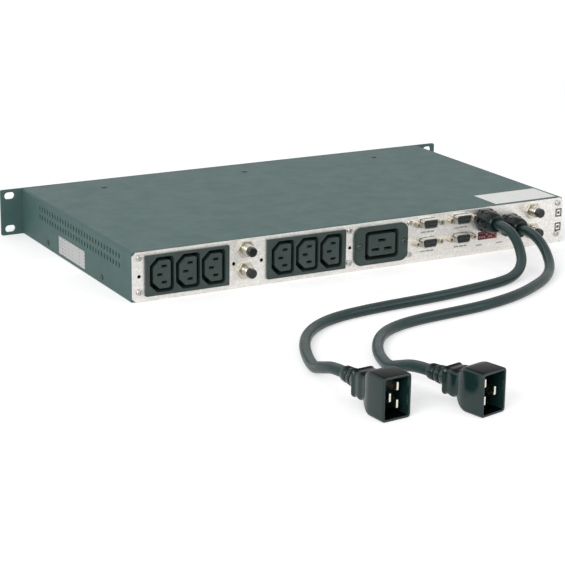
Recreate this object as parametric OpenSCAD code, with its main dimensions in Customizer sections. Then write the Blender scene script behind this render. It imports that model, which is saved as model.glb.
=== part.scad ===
// Rack static transfer switch, one rack unit high.
// Two mains cords feed it, and it passes one of them to the outlets on its rear panel.
// Frame: +Z up, rear panel towards +Y, rack ears towards -Y, origin at the middle of the underside.
// Lengths are millimetres.

/* [Casing] */
// Width of the casing between the rack ears
casing_w = 440; // [430:1:446]
// Depth from the ears' front face to the rear panel's outer face
casing_d = 254; // [240:1:400]
// Height of the casing, just under one rack unit
casing_h = 43.6; // [43:0.1:44.2]
// Thickness of the folded steel sheet
sheet = 1.2; // [0.8:0.1:1.5]
// Outside radius of the cover's two long bends
bend_r = 2.4; // [1.8:0.1:4]
// Width of the open seams between cover, tray and panels
seam = 0.3; // [0.1:0.05:0.6]

/* [Ventilation] */
// Vent slots in each row
vent_count = 30; // [10:1:34]
// Distance from slot to slot
vent_pitch = 6.2; // [4:0.1:6.6]
// Width of one slot
vent_w = 2.4; // [1.5:0.1:3]
// Height of one slot
vent_h = 5; // [3:0.1:6]
// Height of the lower row's middle
vent_low_z = 26.5; // [24:0.5:28]
// Distance between the two rows
vent_row_gap = 8; // [7:0.5:9]

/* [Rack ears] */
// Width over both ears
ears_w = 482.6; // [482:0.1:483]
// Thickness of the front panel
front_t = 2.5; // [2:0.1:4]
// Distance between the left and the right ear slots
ear_slot_x = 465.1; // [465:0.1:466]
// Distance between the upper and the lower ear slots
ear_slot_z = 31.75; // [31:0.05:32]
// Height of one ear slot
ear_slot_h = 6.8; // [6.4:0.1:7.2]
// Length of one ear slot
ear_slot_l = 10.2; // [8:0.1:12]

/* [Rear panel] */
// Thickness of the bare metal rear panel
rear_t = 1.5; // [1:0.1:2]
// Corner cut of the rear panel
rear_corner = 3; // [1:0.5:4]
// Margin between the rear panel's long edges and the casing's outline
rear_margin = 0.4; // [0.2:0.1:0.8]
// Height of the lower row of panel screws
screw_low_z = 9; // [8:0.1:10]
// Height of the upper row of panel screws
screw_high_z = 38.6; // [37.5:0.1:39]

/* [Outlets] */
// Distance between the three sockets of one outlet block
socket_pitch = 24; // [23.5:0.1:25]
// Width and height of a socket's inner tongue
tongue_w = 15.9; // [15.5:0.1:16.2]
tongue_h = 24; // [23.6:0.1:24.4]
// Gap round the tongue, where a plug's shroud goes
socket_gap = 3.2; // [2.9:0.1:3.3]
// Depth of that gap
socket_depth = 17; // [15:0.5:18]
// Middle of the first and of the second outlet block, along the panel
block_1_x = 170; // [168:0.5:171]
block_2_x = 55.4; // [54:0.1:57]
// Height of the outlets' middle
outlet_z = 22.5; // [22:0.1:23]
// Middle of the high current outlet, along the panel
big_x = -20.2; // [-22:0.1:-19]
// Width and height of the high current outlet's tongue
big_tongue_w = 27.6; // [27:0.1:28]
big_tongue_h = 19.2; // [18.8:0.1:19.6]
// Gap round that tongue
big_gap = 3.5; // [3.2:0.1:3.8]

/* [Breakers] */
// Middle of the two pairs of resettable breakers, along the panel
breaker_left_x = 115; // [114:0.1:116]
breaker_right_x = -185; // [-188:0.5:-182]
// Height of the lower breaker's axis
breaker_low_z = 15.6; // [15:0.1:16.5]
// Distance between a pair's two breakers
breaker_pitch = 19; // [17.5:0.1:19.2]
// Diameter of the threaded bushing
bushing_d = 9.5; // [9:0.1:10]
// Diameter of the reset button's stem
stem_d = 6.6; // [6:0.1:7]
// Running clearance round a button's stem, on the radius
run_gap = 0.08; // [0.05:0.01:0.1]
// How far a tripped button jumps out
trip_travel = 3; // [2:0.5:3.5]

/* [Signal ports] */
// Middle of the two columns of signal ports, along the panel
port_left_x = -69.5; // [-70:0.1:-69]
port_right_x = -105.5; // [-106:0.1:-105]
// Height of the upper and of the lower row
port_high_z = 36; // [35.5:0.1:36.2]
port_low_z = 18.4; // [17:0.1:19.5]
// Distance between a port's two jack screws
jack_pitch = 25; // [24.9:0.1:25.1]
// How far the shell stands out of the panel
shell_out = 5.8; // [5:0.1:6.2]

/* [Selector switches] */
// Number of small slide switches in the selector block
slider_count = 8; // [8:1:8]
// Distance from slider to slider
slider_pitch = 2.54; // [2.5:0.01:2.6]
// Travel of one slider
slider_travel = 1.9; // [1.5:0.1:2.2]
// Middle of the selector block, along the panel
selector_x = -135.5; // [-136:0.1:-135.2]
// Height of the selector block's middle
selector_z = 16.8; // [16:0.1:17]

/* [Cords and plugs] */
// Outside diameter of a mains cord
cord_d = 9; // [8:0.1:9.2]
// Places of the two glands, along the panel and up
gland_1_x = -131; // [-131.4:0.1:-130.8]
gland_1_z = 32.3; // [32:0.1:32.5]
gland_2_x = -158.5; // [-159:0.1:-158]
gland_2_z = 24.5; // [24:0.1:25]
// Width over the flats of a gland's hexagon
gland_af = 20; // [19:0.5:21]
// How far a gland stands out of the panel
gland_out = 21; // [20:0.5:24]
// Width and height of a plug's shroud
plug_w = 24.4; // [24:0.1:25]
plug_h = 32.8; // [32:0.1:33.4]
// Wall of the shroud
plug_wall = 2.3; // [2:0.1:2.5]
// Turn of the first and of the second plug, seen from above
plug_1_turn = 5; // [0:1:10]
plug_2_turn = 13; // [8:1:16]

/* [Inside] */
// Thickness of the circuit boards
board_t = 1.6; // [1.2:0.1:2]
// Height of the main board's underside over the tray's floor
standoff_h = 8; // [6:0.5:12]
// Number of fins on each side of a heat sink
fin_count = 4; // [3:1:5]

/* [Hidden] */
$fn = 48;
cut = 1;                                     // how far a cutter passes the face it cuts
rear_y = casing_d / 2;                       // outer face of the rear panel
rear_in = rear_y - rear_t;                   // inner face of the rear panel
front_y = -casing_d / 2;                     // outer face of the front panel
front_in = front_y + front_t;                // inner face of the front panel
half_w = casing_w / 2;
inner_half_w = half_w - sheet;               // inner face of the cover's side
tray_half_w = inner_half_w - seam / 2;       // outer face of the tray's side flange
inner_top = casing_h - sheet;                // underside of the cover's top
flange_h = 14;                               // height of the tray's side flanges
screw_shank_r = 1.42;                        // M3 screw, thread not cut
screw_hole_r = 1.7;                          // clearance hole for it
tapped_r = 1.5;                              // tapped hole for it
screw_head_r = 2.8;
screw_head_h = 1.9;
tab_w = 7;                                   // width of the tabs that take the panel screws
tab_h = 9;                                   // height of the cover's tabs
screw_xs = [casing_w / 2 - 6, 12, -50.4, 6 - casing_w / 2];
side_screw_ys = [-62, 62];
side_screw_z = 6.1;
top_screw_xs = [-149, 0, 149];
top_screw_y = front_y + 31.6;
vent_mid_y = 10.1;

// outlet block
block_w = 78;
block_h = 35.4;
block_out = 2;                               // how far its flange stands out of the panel
block_body_w = 75.4;
block_body_h = 32.8;
block_body_d = 24;
bracket_dx = 44;                             // from a block's middle to the cord bracket's holes
bracket_hole_r = 1.6;
fit = 0.15;                                  // clearance round a body in its panel cut-out
slot_w = 5;
slot_h = 2.3;
slot_depth = 15;
line_dx = 2;                                 // pins stand this far each side of the tongue's middle
line_dz = 7;
socket_chamfer = 5.6;
contact_t = 0.8;
tail_w = 4.8;
tail_l = 9;

// high current outlet
big_flange_w = 55.4;
big_flange_h = 35;
big_flange_r = 7.5;
big_out = 2.6;
big_body_w = 40;
big_body_h = 30.4;
big_body_d = 26;
big_screw_dx = 23;
big_slot_w = 8;
big_slot_h = 2.6;
big_pin_dx = 6.5;
big_pin_dz = 4;

// breaker
breaker_zs = [breaker_low_z + breaker_pitch, breaker_low_z];
breaker_body_w = 18;
breaker_body_h = 15.4;
breaker_body_d = 34;
bushing_out = 9.5;
nut_af = 14;
nut_t = 2.6;
button_cap_r = 4.3;
button_cap_h = 4.6;
button_gap = 0.4;
stem_l = 13;

// signal port
port_zs = [port_high_z, port_low_z];
shell_w = 16.9;
shell_h = 8.4;
shell_t = 0.6;
shell_slope = 1.5;                           // how much narrower each side is at the short edge
shell_r = 2.2;
port_flange_w = 30.8;
port_flange_h = 12.4;
port_flange_t = 1;
port_back_d = 7;
jack_af = 4.8;
jack_out = 5.2;
jack_bore_r = 1.15;
jack_shank_r = 1.42;

// selector block
selector_w = 21.6;
selector_h = 9;
selector_d = 8;
window_w = selector_w - 1;
window_h = 7.2;
slider_w = 1.3;
slider_h = 1.5;
slider_out = 1;                              // how far a slider stands out of the block
slider_seat = 1.2;                           // how deep it sits in its slot
slider_gap = 0.06;

// glands, cords and plugs
gland_thread_r = 8;
gland_hex_t = 5;
gland_neck_r = 7.4;
gland_neck_l = 7;
gland_tip_r = 6.6;
cord_bore_r = cord_d / 2 + 0.2;
locknut_r = 9.2;
locknut_t = 4;
cord_start = 2;                              // a cord's end sits this far outside the panel
plug_depth = 19;                             // straight part of the shroud
cavity_depth = 17.5;
plug_taper = 23;                             // length that narrows to the cord grip
grip_w = 19;
grip_h = 24;
grip_l = 10;
rib_l = 9;
rib_r = 7.2;
plug_l = plug_depth + plug_taper + grip_l + rib_l;
plug_z = plug_h / 2;
blade_w = 8;
blade_t = 2;
blade_recess = 6.5;
blade_dx = 4;
blade_dz = 6.5;
plug_1_at = [168.8, 455.5];
plug_2_at = [103, 477.3];

// the way each cord lies, from its gland to the back of its plug
route_1 = [
    [-131, 129, 32.3], [-131, 148, 32.3], [-131, 158, 32.2], [-130.5, 170, 30], [-129, 181, 25],
    [-126, 191, 18.5], [-120.5, 201, 12.5], [-111, 210, 7.8], [-98, 217.5, 5.3], [-82, 223, 4.6],
    [-62, 227.5, 4.6], [-41, 231, 4.6], [-20, 234, 4.6], [2, 236, 4.6], [24, 237.5, 4.6],
    [46, 239, 4.6], [68, 241.5, 4.6], [89, 245.5, 4.6], [108, 252.5, 4.6], [125, 263.5, 4.6],
    [139.5, 278, 4.6], [151, 295, 4.6], [160, 313, 4.6], [167, 331, 4.6], [172, 347, 6],
    [174.8, 362, 10.5], [175.4, 376, 14.8], [174.9, 386, 16.2], [174.1, 394.7, 16.4]
];
route_2 = [
    [-158.5, 129, 24.5], [-158.5, 148, 24.5], [-158.5, 160, 24.3], [-158, 172, 22], [-156, 185, 17],
    [-151.5, 198, 11.5], [-144, 211, 7.2], [-133, 223, 5], [-119, 235, 4.6], [-102, 246, 4.6],
    [-84, 256, 4.6], [-65, 264, 4.6], [-45, 270, 4.6], [-24, 274.5, 4.6], [-3, 277, 4.6],
    [18, 279, 4.6], [38, 281.5, 4.6], [57, 286, 4.6], [74, 293.5, 4.6], [88, 304.5, 4.6],
    [100, 319, 4.6], [110, 336, 4.6], [117, 354, 4.6], [121.5, 371, 6], [122.8, 385, 10.5],
    [121.3, 398, 14.8], [119, 408.5, 16.2], [116.7, 417.9, 16.4]
];

// inside
board_x = -75;
board_y = -12;
board_w = 230;
board_d = 140;
board_z = sheet + standoff_h;
board_hole_dx = 105;
board_hole_dy = 60;
standoff_r = 3;
relay_w = 29;
relay_d = 13;
relay_h = 20;
sink_xs = [95, 170];
sink_y = -15;
sink_w = 66;
sink_l = 110;
sink_base = 4.5;
sink_land = 28;
fin_h = 22;
fin_t = 1.6;
module_w = 24;
module_l = 62;
module_h = 24;
control_y = front_in + 9;                    // front face of the control board
control_w = 170;
control_h = 22;
control_z = 28;
control_x = -100;
stud_dx = 78;
lamp_r = 1.5;
lamp_xs = [-170, -150, -130, -110, -90];
button_xs = [-62, -42];
front_button_r = 3.9;
front_button_out = 1.6;
front_button_travel = 1.5;
collar_r = 5;
collar_t = 1.5;

// ---------- helpers ----------

// extrudes a drawing of (x, z) from y0 to y1
module along_y(y0, y1) {
    translate([0, y1, 0]) rotate([90, 0, 0]) linear_extrude(y1 - y0) children();
}

// extrudes a drawing of (y, z) from x0 to x1
module along_x(x0, x1) {
    translate([x0, 0, 0]) rotate([90, 0, 90]) linear_extrude(x1 - x0) children();
}

// a cylinder whose axis runs along Y, from y0 to y1
module rod_y(x, z, r, y0, y1) {
    translate([x, y1, z]) rotate([90, 0, 0]) cylinder(h = y1 - y0, r = r);
}

// rectangle with round corners, centred
module round_rect(w, h, r) {
    square([w - 2 * r, h], center = true);
    square([w, h - 2 * r], center = true);
    for (sx = [-1, 1], sy = [-1, 1])
        translate([sx * (w / 2 - r), sy * (h / 2 - r)]) circle(r);
}

// rectangle standing on its lower edge, with its two upper corners round
module round_top(w, h, r) {
    translate([-w / 2, 0]) square([w, h - r]);
    translate([r - w / 2, 0]) square([w - 2 * r, h]);
    for (sx = [-1, 1]) translate([sx * (w / 2 - r), h - r]) circle(r);
}

// upright slot with round ends, centred
module tall_slot(w, h) {
    square([w, h - w], center = true);
    for (s = [-1, 1]) translate([0, s * (h - w) / 2]) circle(w / 2);
}

// hexagon measured over its flats, with flats above and below
module hexagon(af) {
    circle(r = af / sqrt(3), $fn = 6);
}

// a socket's outline: round corners, and two cut corners on its earth side (+x)
module socket_outline(w, h, r, chamfer) {
    intersection() {
        round_rect(w, h, r);
        polygon([
            [-w / 2, -h / 2], [w / 2 - chamfer, -h / 2], [w / 2, -h / 2 + chamfer],
            [w / 2, h / 2 - chamfer], [w / 2 - chamfer, h / 2], [-w / 2, h / 2]
        ]);
    }
}

// the D outline of a signal port, wide edge up
module d_outline(grow) {
    w = shell_w / 2 + grow;
    h = shell_h / 2 + grow;
    offset(r = shell_r) offset(delta = -shell_r)
        polygon([[-w, h], [w, h], [w - shell_slope, -h], [shell_slope - w, -h]]);
}

// pan head screw along Y, its head's underside at y = seat, shank running inwards
module pan_screw(x, z, seat, shank) {
    translate([x, seat, z]) rotate([-90, 0, 0]) {
        difference() {
            rotate_extrude() {
                square([screw_head_r, screw_head_h * 0.45]);
                square([screw_head_r * 0.62, screw_head_h]);
                translate([screw_head_r * 0.62, screw_head_h * 0.45])
                    intersection() {
                        scale(screw_head_h * 0.55) circle(1);
                        square(screw_head_h);
                    }
            }
            for (a = [0, 90])
                rotate([0, 0, a]) translate([-1.7, -0.35, screw_head_h - 0.9]) cube([3.4, 0.7, cut]);
        }
        translate([0, 0, -shank]) cylinder(h = shank, r = screw_shank_r);
    }
}

// ---------- casing ----------

module bottom_tray() {
    color("#3d4a4b") {
        difference() {
            union() {
                along_y(front_in, rear_in - sheet) difference() {
                    tray_outline(0);
                    translate([0, sheet]) tray_outline(sheet);
                }
                // front flange, and tabs behind the rear panel
                along_y(front_in, front_in + sheet)
                    translate([-tray_half_w + bend_r, 0]) square([2 * (tray_half_w - bend_r), flange_h]);
                for (x = screw_xs)
                    along_y(rear_in - sheet, rear_in)
                        translate([x - tab_w / 2, 0]) square([tab_w, flange_h]);
                along_y(rear_in - sheet, rear_in)
                    translate([bend_r - tray_half_w, 0]) square([2 * (tray_half_w - bend_r), sheet]);
                // pressed-in pillars under the main board and under the cover
                for (sx = [-1, 0, 1], sy = [-1, 1])
                    translate([board_x + sx * board_hole_dx, board_y + sy * board_hole_dy, 0])
                        cylinder(h = board_z, r = standoff_r);
                for (x = top_screw_xs)
                    translate([x, top_screw_y, 0]) cylinder(h = inner_top, r = standoff_r + 0.5);
            }
            for (x = screw_xs)
                rod_y(x, screw_low_z, tapped_r, rear_in - sheet - cut, rear_in + cut);
            for (y = side_screw_ys)
                translate([-half_w - cut, y, side_screw_z]) rotate([0, 90, 0])
                    cylinder(h = casing_w + 2 * cut, r = tapped_r);
            for (x = top_screw_xs)
                translate([x, top_screw_y, inner_top - 10]) cylinder(h = 10 + cut, r = tapped_r);
        }
    }
}

// outline of the tray's floor and side flanges, shrunk by a wall
module tray_outline(wall) {
    w = 2 * (tray_half_w - wall);
    r = bend_r - wall;
    translate([0, r]) translate([-w / 2, 0]) square([w, flange_h - r]);
    translate([r - w / 2, 0]) square([w - 2 * r, flange_h]);
    for (sx = [-1, 1]) translate([sx * (w / 2 - r), r]) circle(r);
}

module top_cover() {
    color("#55625f") difference() {
        union() {
            along_y(front_in, rear_in - seam) difference() {
                translate([0, rear_margin]) round_top(casing_w, casing_h - rear_margin, bend_r);
                round_top(2 * inner_half_w, inner_top, bend_r - sheet);
            }
            // tabs behind the rear panel, bent down from the top
            for (x = screw_xs)
                along_y(rear_in - sheet, rear_in)
                    translate([x - tab_w / 2, inner_top - tab_h]) square([tab_w, tab_h + sheet / 2]);
        }
        along_x(-half_w - cut, half_w + cut)
            for (row = [0, 1], i = [0:vent_count - 1])
                translate([
                    vent_mid_y + (i - (vent_count - 1) / 2) * vent_pitch,
                    vent_low_z + row * vent_row_gap
                ]) tall_slot(vent_w, vent_h);
        for (x = screw_xs)
            rod_y(x, screw_high_z, tapped_r, rear_in - sheet - cut, rear_in + cut);
        for (y = side_screw_ys)
            translate([-half_w - cut, y, side_screw_z]) rotate([0, 90, 0])
                cylinder(h = casing_w + 2 * cut, r = screw_hole_r);
        for (x = top_screw_xs)
            translate([x, top_screw_y, inner_top - cut]) cylinder(h = sheet + 2 * cut, r = screw_hole_r);
    }
}

module front_panel() {
    color("#55625f") {
        along_y(front_y, front_in) translate([0, casing_h / 2]) difference() {
            round_rect(ears_w, casing_h, 1.5);
            for (sx = [-1, 1], sz = [-1, 1])
                translate([sx * ear_slot_x / 2, sz * ear_slot_z / 2])
                    rotate(90) tall_slot(ear_slot_h, ear_slot_l);
            for (x = lamp_xs) translate([x, control_z - casing_h / 2]) circle(lamp_r);
            for (x = button_xs)
                translate([x, control_z - casing_h / 2]) circle(front_button_r + run_gap);
        }
        // studs that carry the control board
        for (sx = [-1, 1], sz = [-1, 1])
            rod_y(control_x + sx * stud_dx, control_z + sz * 8, 2.2, front_in, control_y);
    }
}

module rear_panel() {
    panel_h = casing_h - 2 * rear_margin;
    color("#b9bab6") along_y(rear_in, rear_y) difference() {
        translate([0, casing_h / 2]) polygon([
            for (c = [[1, 1], [-1, 1], [-1, -1], [1, -1]], k = [0, 1])
                [
                    c[0] * (half_w - (k == (c[0] == c[1] ? 0 : 1) ? 0 : rear_corner)),
                    c[1] * (panel_h / 2 - (k == (c[0] == c[1] ? 0 : 1) ? rear_corner : 0))
                ]
        ]);
        for (x = screw_xs, z = [screw_low_z, screw_high_z]) translate([x, z]) circle(screw_hole_r);
        for (x = [block_1_x, block_2_x]) translate([x, outlet_z]) {
            square([block_body_w + 2 * fit, block_body_h + 2 * fit], center = true);
            for (s = [-1, 1]) translate([s * bracket_dx, 0]) circle(bracket_hole_r);
        }
        translate([big_x, outlet_z]) {
            square([big_body_w + 2 * fit, big_body_h + 2 * fit], center = true);
            for (s = [-1, 1]) translate([s * big_screw_dx, 0]) circle(screw_hole_r);
        }
        for (x = [breaker_left_x, breaker_right_x], z = breaker_zs)
            translate([x, z]) circle(bushing_d / 2 + fit);
        for (x = [port_left_x, port_right_x], z = port_zs) translate([x, z]) {
            d_outline(2 * fit);
            for (s = [-1, 1]) translate([s * jack_pitch / 2, 0]) circle(screw_hole_r);
        }
        translate([selector_x, selector_z])
            square([window_w + 2 * fit, window_h + 2 * fit], center = true);
        for (p = [[gland_1_x, gland_1_z], [gland_2_x, gland_2_z]])
            translate(p) circle(gland_thread_r + fit);
    }
}

module panel_screws() {
    color("silver")
        for (x = screw_xs, z = [screw_low_z, screw_high_z]) pan_screw(x, z, rear_y, 6);
}

// low screws on the cover's sides and top
module cover_screws() {
    color("#6a7573") {
        for (y = side_screw_ys, sx = [-1, 1])
            translate([sx * half_w, y, side_screw_z]) rotate([0, sx * 90, 0]) low_screw();
        for (x = top_screw_xs)
            translate([x, top_screw_y, casing_h]) low_screw();
    }
}

module low_screw() {
    difference() {
        union() {
            cylinder(h = 0.5, r = screw_head_r);
            translate([0, 0, 0.5]) cylinder(h = 0.5, r1 = screw_head_r, r2 = screw_head_r - 0.8);
            translate([0, 0, -5]) cylinder(h = 5, r = screw_shank_r);
        }
        for (a = [0, 90])
            rotate([0, 0, a]) translate([-1.5, -0.3, 0.4]) cube([3, 0.6, cut]);
    }
}

// ---------- outlets ----------

// one block of three sockets, in its own frame: front face at y = 0, middle at the origin
module outlet_block() {
    gap_w = tongue_w + 2 * socket_gap;
    gap_h = tongue_h + 2 * socket_gap;
    difference() {
        union() {
            along_y(-block_out, 0) round_rect(block_w, block_h, 1);
            along_y(-block_out - block_body_d, -block_out) square([block_body_w, block_body_h], center = true);
        }
        for (i = [-1, 0, 1]) translate([i * socket_pitch, 0, 0]) {
            along_y(-socket_depth, cut) difference() {
                socket_outline(gap_w, gap_h, 3.4, socket_chamfer + 1.2);
                socket_outline(tongue_w, tongue_h, 2, socket_chamfer);
            }
            for (p = pin_places())
                translate([p[0], 0, p[1]]) {
                    along_y(-slot_depth, cut) square([slot_w, slot_h], center = true);
                    along_y(-block_out - block_body_d - cut, -slot_depth + cut)
                        square([tail_w, contact_t], center = true);
                }
        }
    }
}

// places of the three pins in one socket: line, earth, neutral
function pin_places() = [[-line_dx, line_dz], [line_dx, 0], [-line_dx, -line_dz]];

module place_block(x) {
    translate([x, rear_y + block_out, outlet_z]) children();
}

module outlet_block_1() { color("#2b3032") place_block(block_1_x) outlet_block(); }
module outlet_block_2() { color("#2b3032") place_block(block_2_x) outlet_block(); }

// spring contacts of both blocks: two leaves in the slot, a bridge and a tail out of the back
module outlet_contacts() {
    back = block_out + block_body_d;
    color("#c9a45c")
        for (x = [block_1_x, block_2_x], i = [-1, 0, 1]) place_block(x)
            for (p = pin_places()) translate([i * socket_pitch + p[0], 0, p[1]])
                contact(slot_w - 0.4, slot_h, slot_depth, tail_w, back);
}

module contact(w, h, depth, tail, back) {
    leaf = 0.35;
    along_y(-depth, 1 - depth) square([w, h], center = true);
    for (s = [-1, 1])
        along_y(-depth, -3) translate([0, s * (h - leaf) / 2]) square([w, leaf], center = true);
    along_y(-back - tail_l, -depth) square([tail, contact_t], center = true);
}

module high_current_outlet() {
    gap_w = big_tongue_w + 2 * big_gap;
    gap_h = big_tongue_h + 2 * big_gap;
    color("#2b3032") translate([big_x, rear_y + big_out, outlet_z]) difference() {
        union() {
            along_y(-big_out, -0.8) round_rect(big_flange_w, big_flange_h, big_flange_r);
            along_y(-0.8, 0) round_rect(big_flange_w - 2, big_flange_h - 2, big_flange_r - 1);
            along_y(-big_out - big_body_d, -big_out) square([big_body_w, big_body_h], center = true);
        }
        along_y(-socket_depth, cut) difference() {
            round_rect(gap_w, gap_h, 3.5);
            round_rect(big_tongue_w, big_tongue_h, 2);
        }
        for (p = big_pin_places()) translate([p[0], 0, p[1]]) {
            along_y(-slot_depth, cut) square([big_slot_w, big_slot_h], center = true);
            along_y(-big_out - big_body_d - cut, -slot_depth + cut)
                square([big_slot_w - 1.7, contact_t], center = true);
        }
        for (s = [-1, 1]) translate([s * big_screw_dx, 0, 0]) {
            rod_y(0, 0, screw_hole_r, -big_out - cut, cut);
            rod_y(0, 0, screw_head_r + 0.3, -1.2, cut);
        }
    }
}

// pins of the high current outlet: earth above, line and neutral below
function big_pin_places() = [[0, big_pin_dz], [big_pin_dx, -big_pin_dz], [-big_pin_dx, -big_pin_dz]];

module high_current_contacts() {
    color("#c9a45c") translate([big_x, rear_y + big_out, outlet_z])
        for (p = big_pin_places()) translate([p[0], 0, p[1]])
            contact(big_slot_w - 0.4, big_slot_h, slot_depth, big_slot_w - 1.7, big_out + big_body_d);
}

module outlet_screws() {
    color("silver")
        for (s = [-1, 1])
            pan_screw(big_x + s * big_screw_dx, outlet_z, rear_y + big_out - 1.2, 8);
}

// ---------- breakers ----------

module place_breaker(i) {
    translate([i < 2 ? breaker_left_x : breaker_right_x, rear_y, breaker_zs[i % 2]]) children();
}

// moulded case behind the panel, threaded bushing through it, bore for the button
module breaker_body() {
    difference() {
        union() {
            along_y(-rear_t - breaker_body_d, -rear_t)
                round_rect(breaker_body_w, breaker_body_h, 1);
            rod_y(0, 0, bushing_d / 2, -rear_t, bushing_out - 0.5);
            translate([0, bushing_out - 0.5, 0]) rotate([-90, 0, 0])
                cylinder(h = 0.5, r1 = bushing_d / 2, r2 = bushing_d / 2 - 0.4);
            for (s = [-1, 1])
                translate([s * 5 - 2.4, -rear_t - breaker_body_d - 8, -0.4]) cube([4.8, 8.1, 0.8]);
        }
        rod_y(0, 0, stem_d / 2 + run_gap, bushing_out + button_gap - stem_l - 1, bushing_out + cut);
    }
}

module breaker_body_1() { color("#8d8f8c") place_breaker(0) breaker_body(); }
module breaker_body_2() { color("#8d8f8c") place_breaker(1) breaker_body(); }
module breaker_body_3() { color("#8d8f8c") place_breaker(2) breaker_body(); }
module breaker_body_4() { color("#8d8f8c") place_breaker(3) breaker_body(); }

module breaker_nuts() {
    color("silver")
        for (i = [0:3]) place_breaker(i)
            intersection() {
                along_y(0, nut_t) difference() {
                    hexagon(nut_af);
                    circle(bushing_d / 2 + run_gap);
                }
                // rounded corners of the nut's outer face
                translate([0, nut_t, 0]) rotate([90, 0, 0])
                    cylinder(h = nut_af, r1 = nut_af * 0.54, r2 = nut_af * 1.54);
            }
}

// stem in the bushing and a domed cap outside it
module reset_button() {
    translate([0, bushing_out + button_gap, 0]) {
        rod_y(0, 0, stem_d / 2, -stem_l, 0);
        translate([0, 0, 0]) rotate([-90, 0, 0]) rotate_extrude() {
            square([button_cap_r, button_cap_h - 1.2]);
            square([button_cap_r - 1.2, button_cap_h]);
            translate([button_cap_r - 1.2, button_cap_h - 1.2]) circle(1.2);
        }
    }
}

module reset_button_1() { color("#1c1f20") place_breaker(0) reset_button(); }
module reset_button_2() { color("#1c1f20") place_breaker(1) reset_button(); }
module reset_button_3() { color("#1c1f20") place_breaker(2) reset_button(); }
module reset_button_4() { color("#1c1f20") place_breaker(3) reset_button(); }

// ---------- signal ports ----------

module place_port(i) {
    translate([i % 2 == 0 ? port_left_x : port_right_x, rear_y, port_zs[i < 2 ? 0 : 1]]) children();
}

// pressed metal shell: flange behind the panel and the D tube through it
module port_shell() {
    difference() {
        union() {
            along_y(-rear_t - port_flange_t, -rear_t) round_rect(port_flange_w, port_flange_h, 1.5);
            along_y(-rear_t, shell_out) d_outline(0);
        }
        along_y(-rear_t - port_flange_t - cut, shell_out + cut) d_outline(-shell_t);
        for (s = [-1, 1])
            rod_y(s * jack_pitch / 2, 0, tapped_r, -rear_t - port_flange_t - cut, -rear_t + cut);
    }
}

// insulator with nine contact holes: five above, four below
module port_insert() {
    hole_r = 0.65;
    pitch = 2.77;
    difference() {
        union() {
            along_y(-rear_t - port_flange_t, shell_out - 0.4) d_outline(-shell_t);
            along_y(-rear_t - port_flange_t - port_back_d, -rear_t - port_flange_t)
                square([19.2, 10.6], center = true);
        }
        for (k = [0:4]) rod_y((k - 2) * pitch, 1.42, hole_r, shell_out - 5, shell_out);
        for (k = [0:3]) rod_y((k - 1.5) * pitch, -1.42, hole_r, shell_out - 5, shell_out);
    }
}

module port_shell_1() { color("#c6c7c2") place_port(0) port_shell(); }
module port_shell_2() { color("#c6c7c2") place_port(1) port_shell(); }
module port_shell_3() { color("#c6c7c2") place_port(2) port_shell(); }
module port_shell_4() { color("#c6c7c2") place_port(3) port_shell(); }
module port_insert_1() { color("#26292a") place_port(0) port_insert(); }
module port_insert_2() { color("#26292a") place_port(1) port_insert(); }
module port_insert_3() { color("#26292a") place_port(2) port_insert(); }
module port_insert_4() { color("#26292a") place_port(3) port_insert(); }

module port_jackscrews() {
    color("#c9c3a8")
        for (i = [0:3], s = [-1, 1]) place_port(i) translate([s * jack_pitch / 2, 0, 0]) difference() {
            union() {
                along_y(0, jack_out) hexagon(jack_af);
                rod_y(0, 0, jack_shank_r, -rear_t - port_flange_t - 2, 0);
            }
            rod_y(0, 0, jack_bore_r, jack_out - 4, jack_out + cut);
        }
}

// ---------- selector block ----------

module selector_block() {
    color("#b3272d") translate([selector_x, rear_y, selector_z]) difference() {
        union() {
            along_y(-rear_t - selector_d, -rear_t) square([selector_w, selector_h], center = true);
            along_y(-rear_t, 0.3) square([window_w, window_h], center = true);
        }
        for (k = [0:slider_count - 1])
            translate([slider_x(k), 0, 0]) along_y(0.3 - slider_seat, 0.3 + cut)
                square([slider_w + 2 * slider_gap, slider_h + slider_travel + 2 * slider_gap], center = true);
    }
}

function slider_x(k) = (k - (slider_count - 1) / 2) * slider_pitch;

// one slider; those that are set stand at the upper end of their slots
module slider(k, set) {
    color("#e9e4da")
        translate([selector_x + slider_x(k - 1), rear_y + 0.3, selector_z + (set ? 1 : -1) * slider_travel / 2])
            along_y(-slider_seat, slider_out - 0.3) square([slider_w, slider_h], center = true);
}

module slider_1() { slider(1, false); }
module slider_2() { slider(2, true); }
module slider_3() { slider(3, false); }
module slider_4() { slider(4, false); }
module slider_5() { slider(5, true); }
module slider_6() { slider(6, false); }
module slider_7() { slider(7, false); }
module slider_8() { slider(8, false); }

// ---------- glands, cords and plugs ----------

module place_gland(i) {
    translate([i == 0 ? gland_1_x : gland_2_x, rear_y, i == 0 ? gland_1_z : gland_2_z]) children();
}

// hexagon against the panel, thread through it, and a neck for the dome
module gland_body() {
    difference() {
        union() {
            along_y(0, gland_hex_t) hexagon(gland_af);
            rod_y(0, 0, gland_thread_r, -rear_t - locknut_t - 3, 0);
            rod_y(0, 0, gland_neck_r, gland_hex_t, gland_hex_t + gland_neck_l);
        }
        rod_y(0, 0, cord_bore_r, cord_start, gland_hex_t + gland_neck_l + cut);
    }
}

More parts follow.
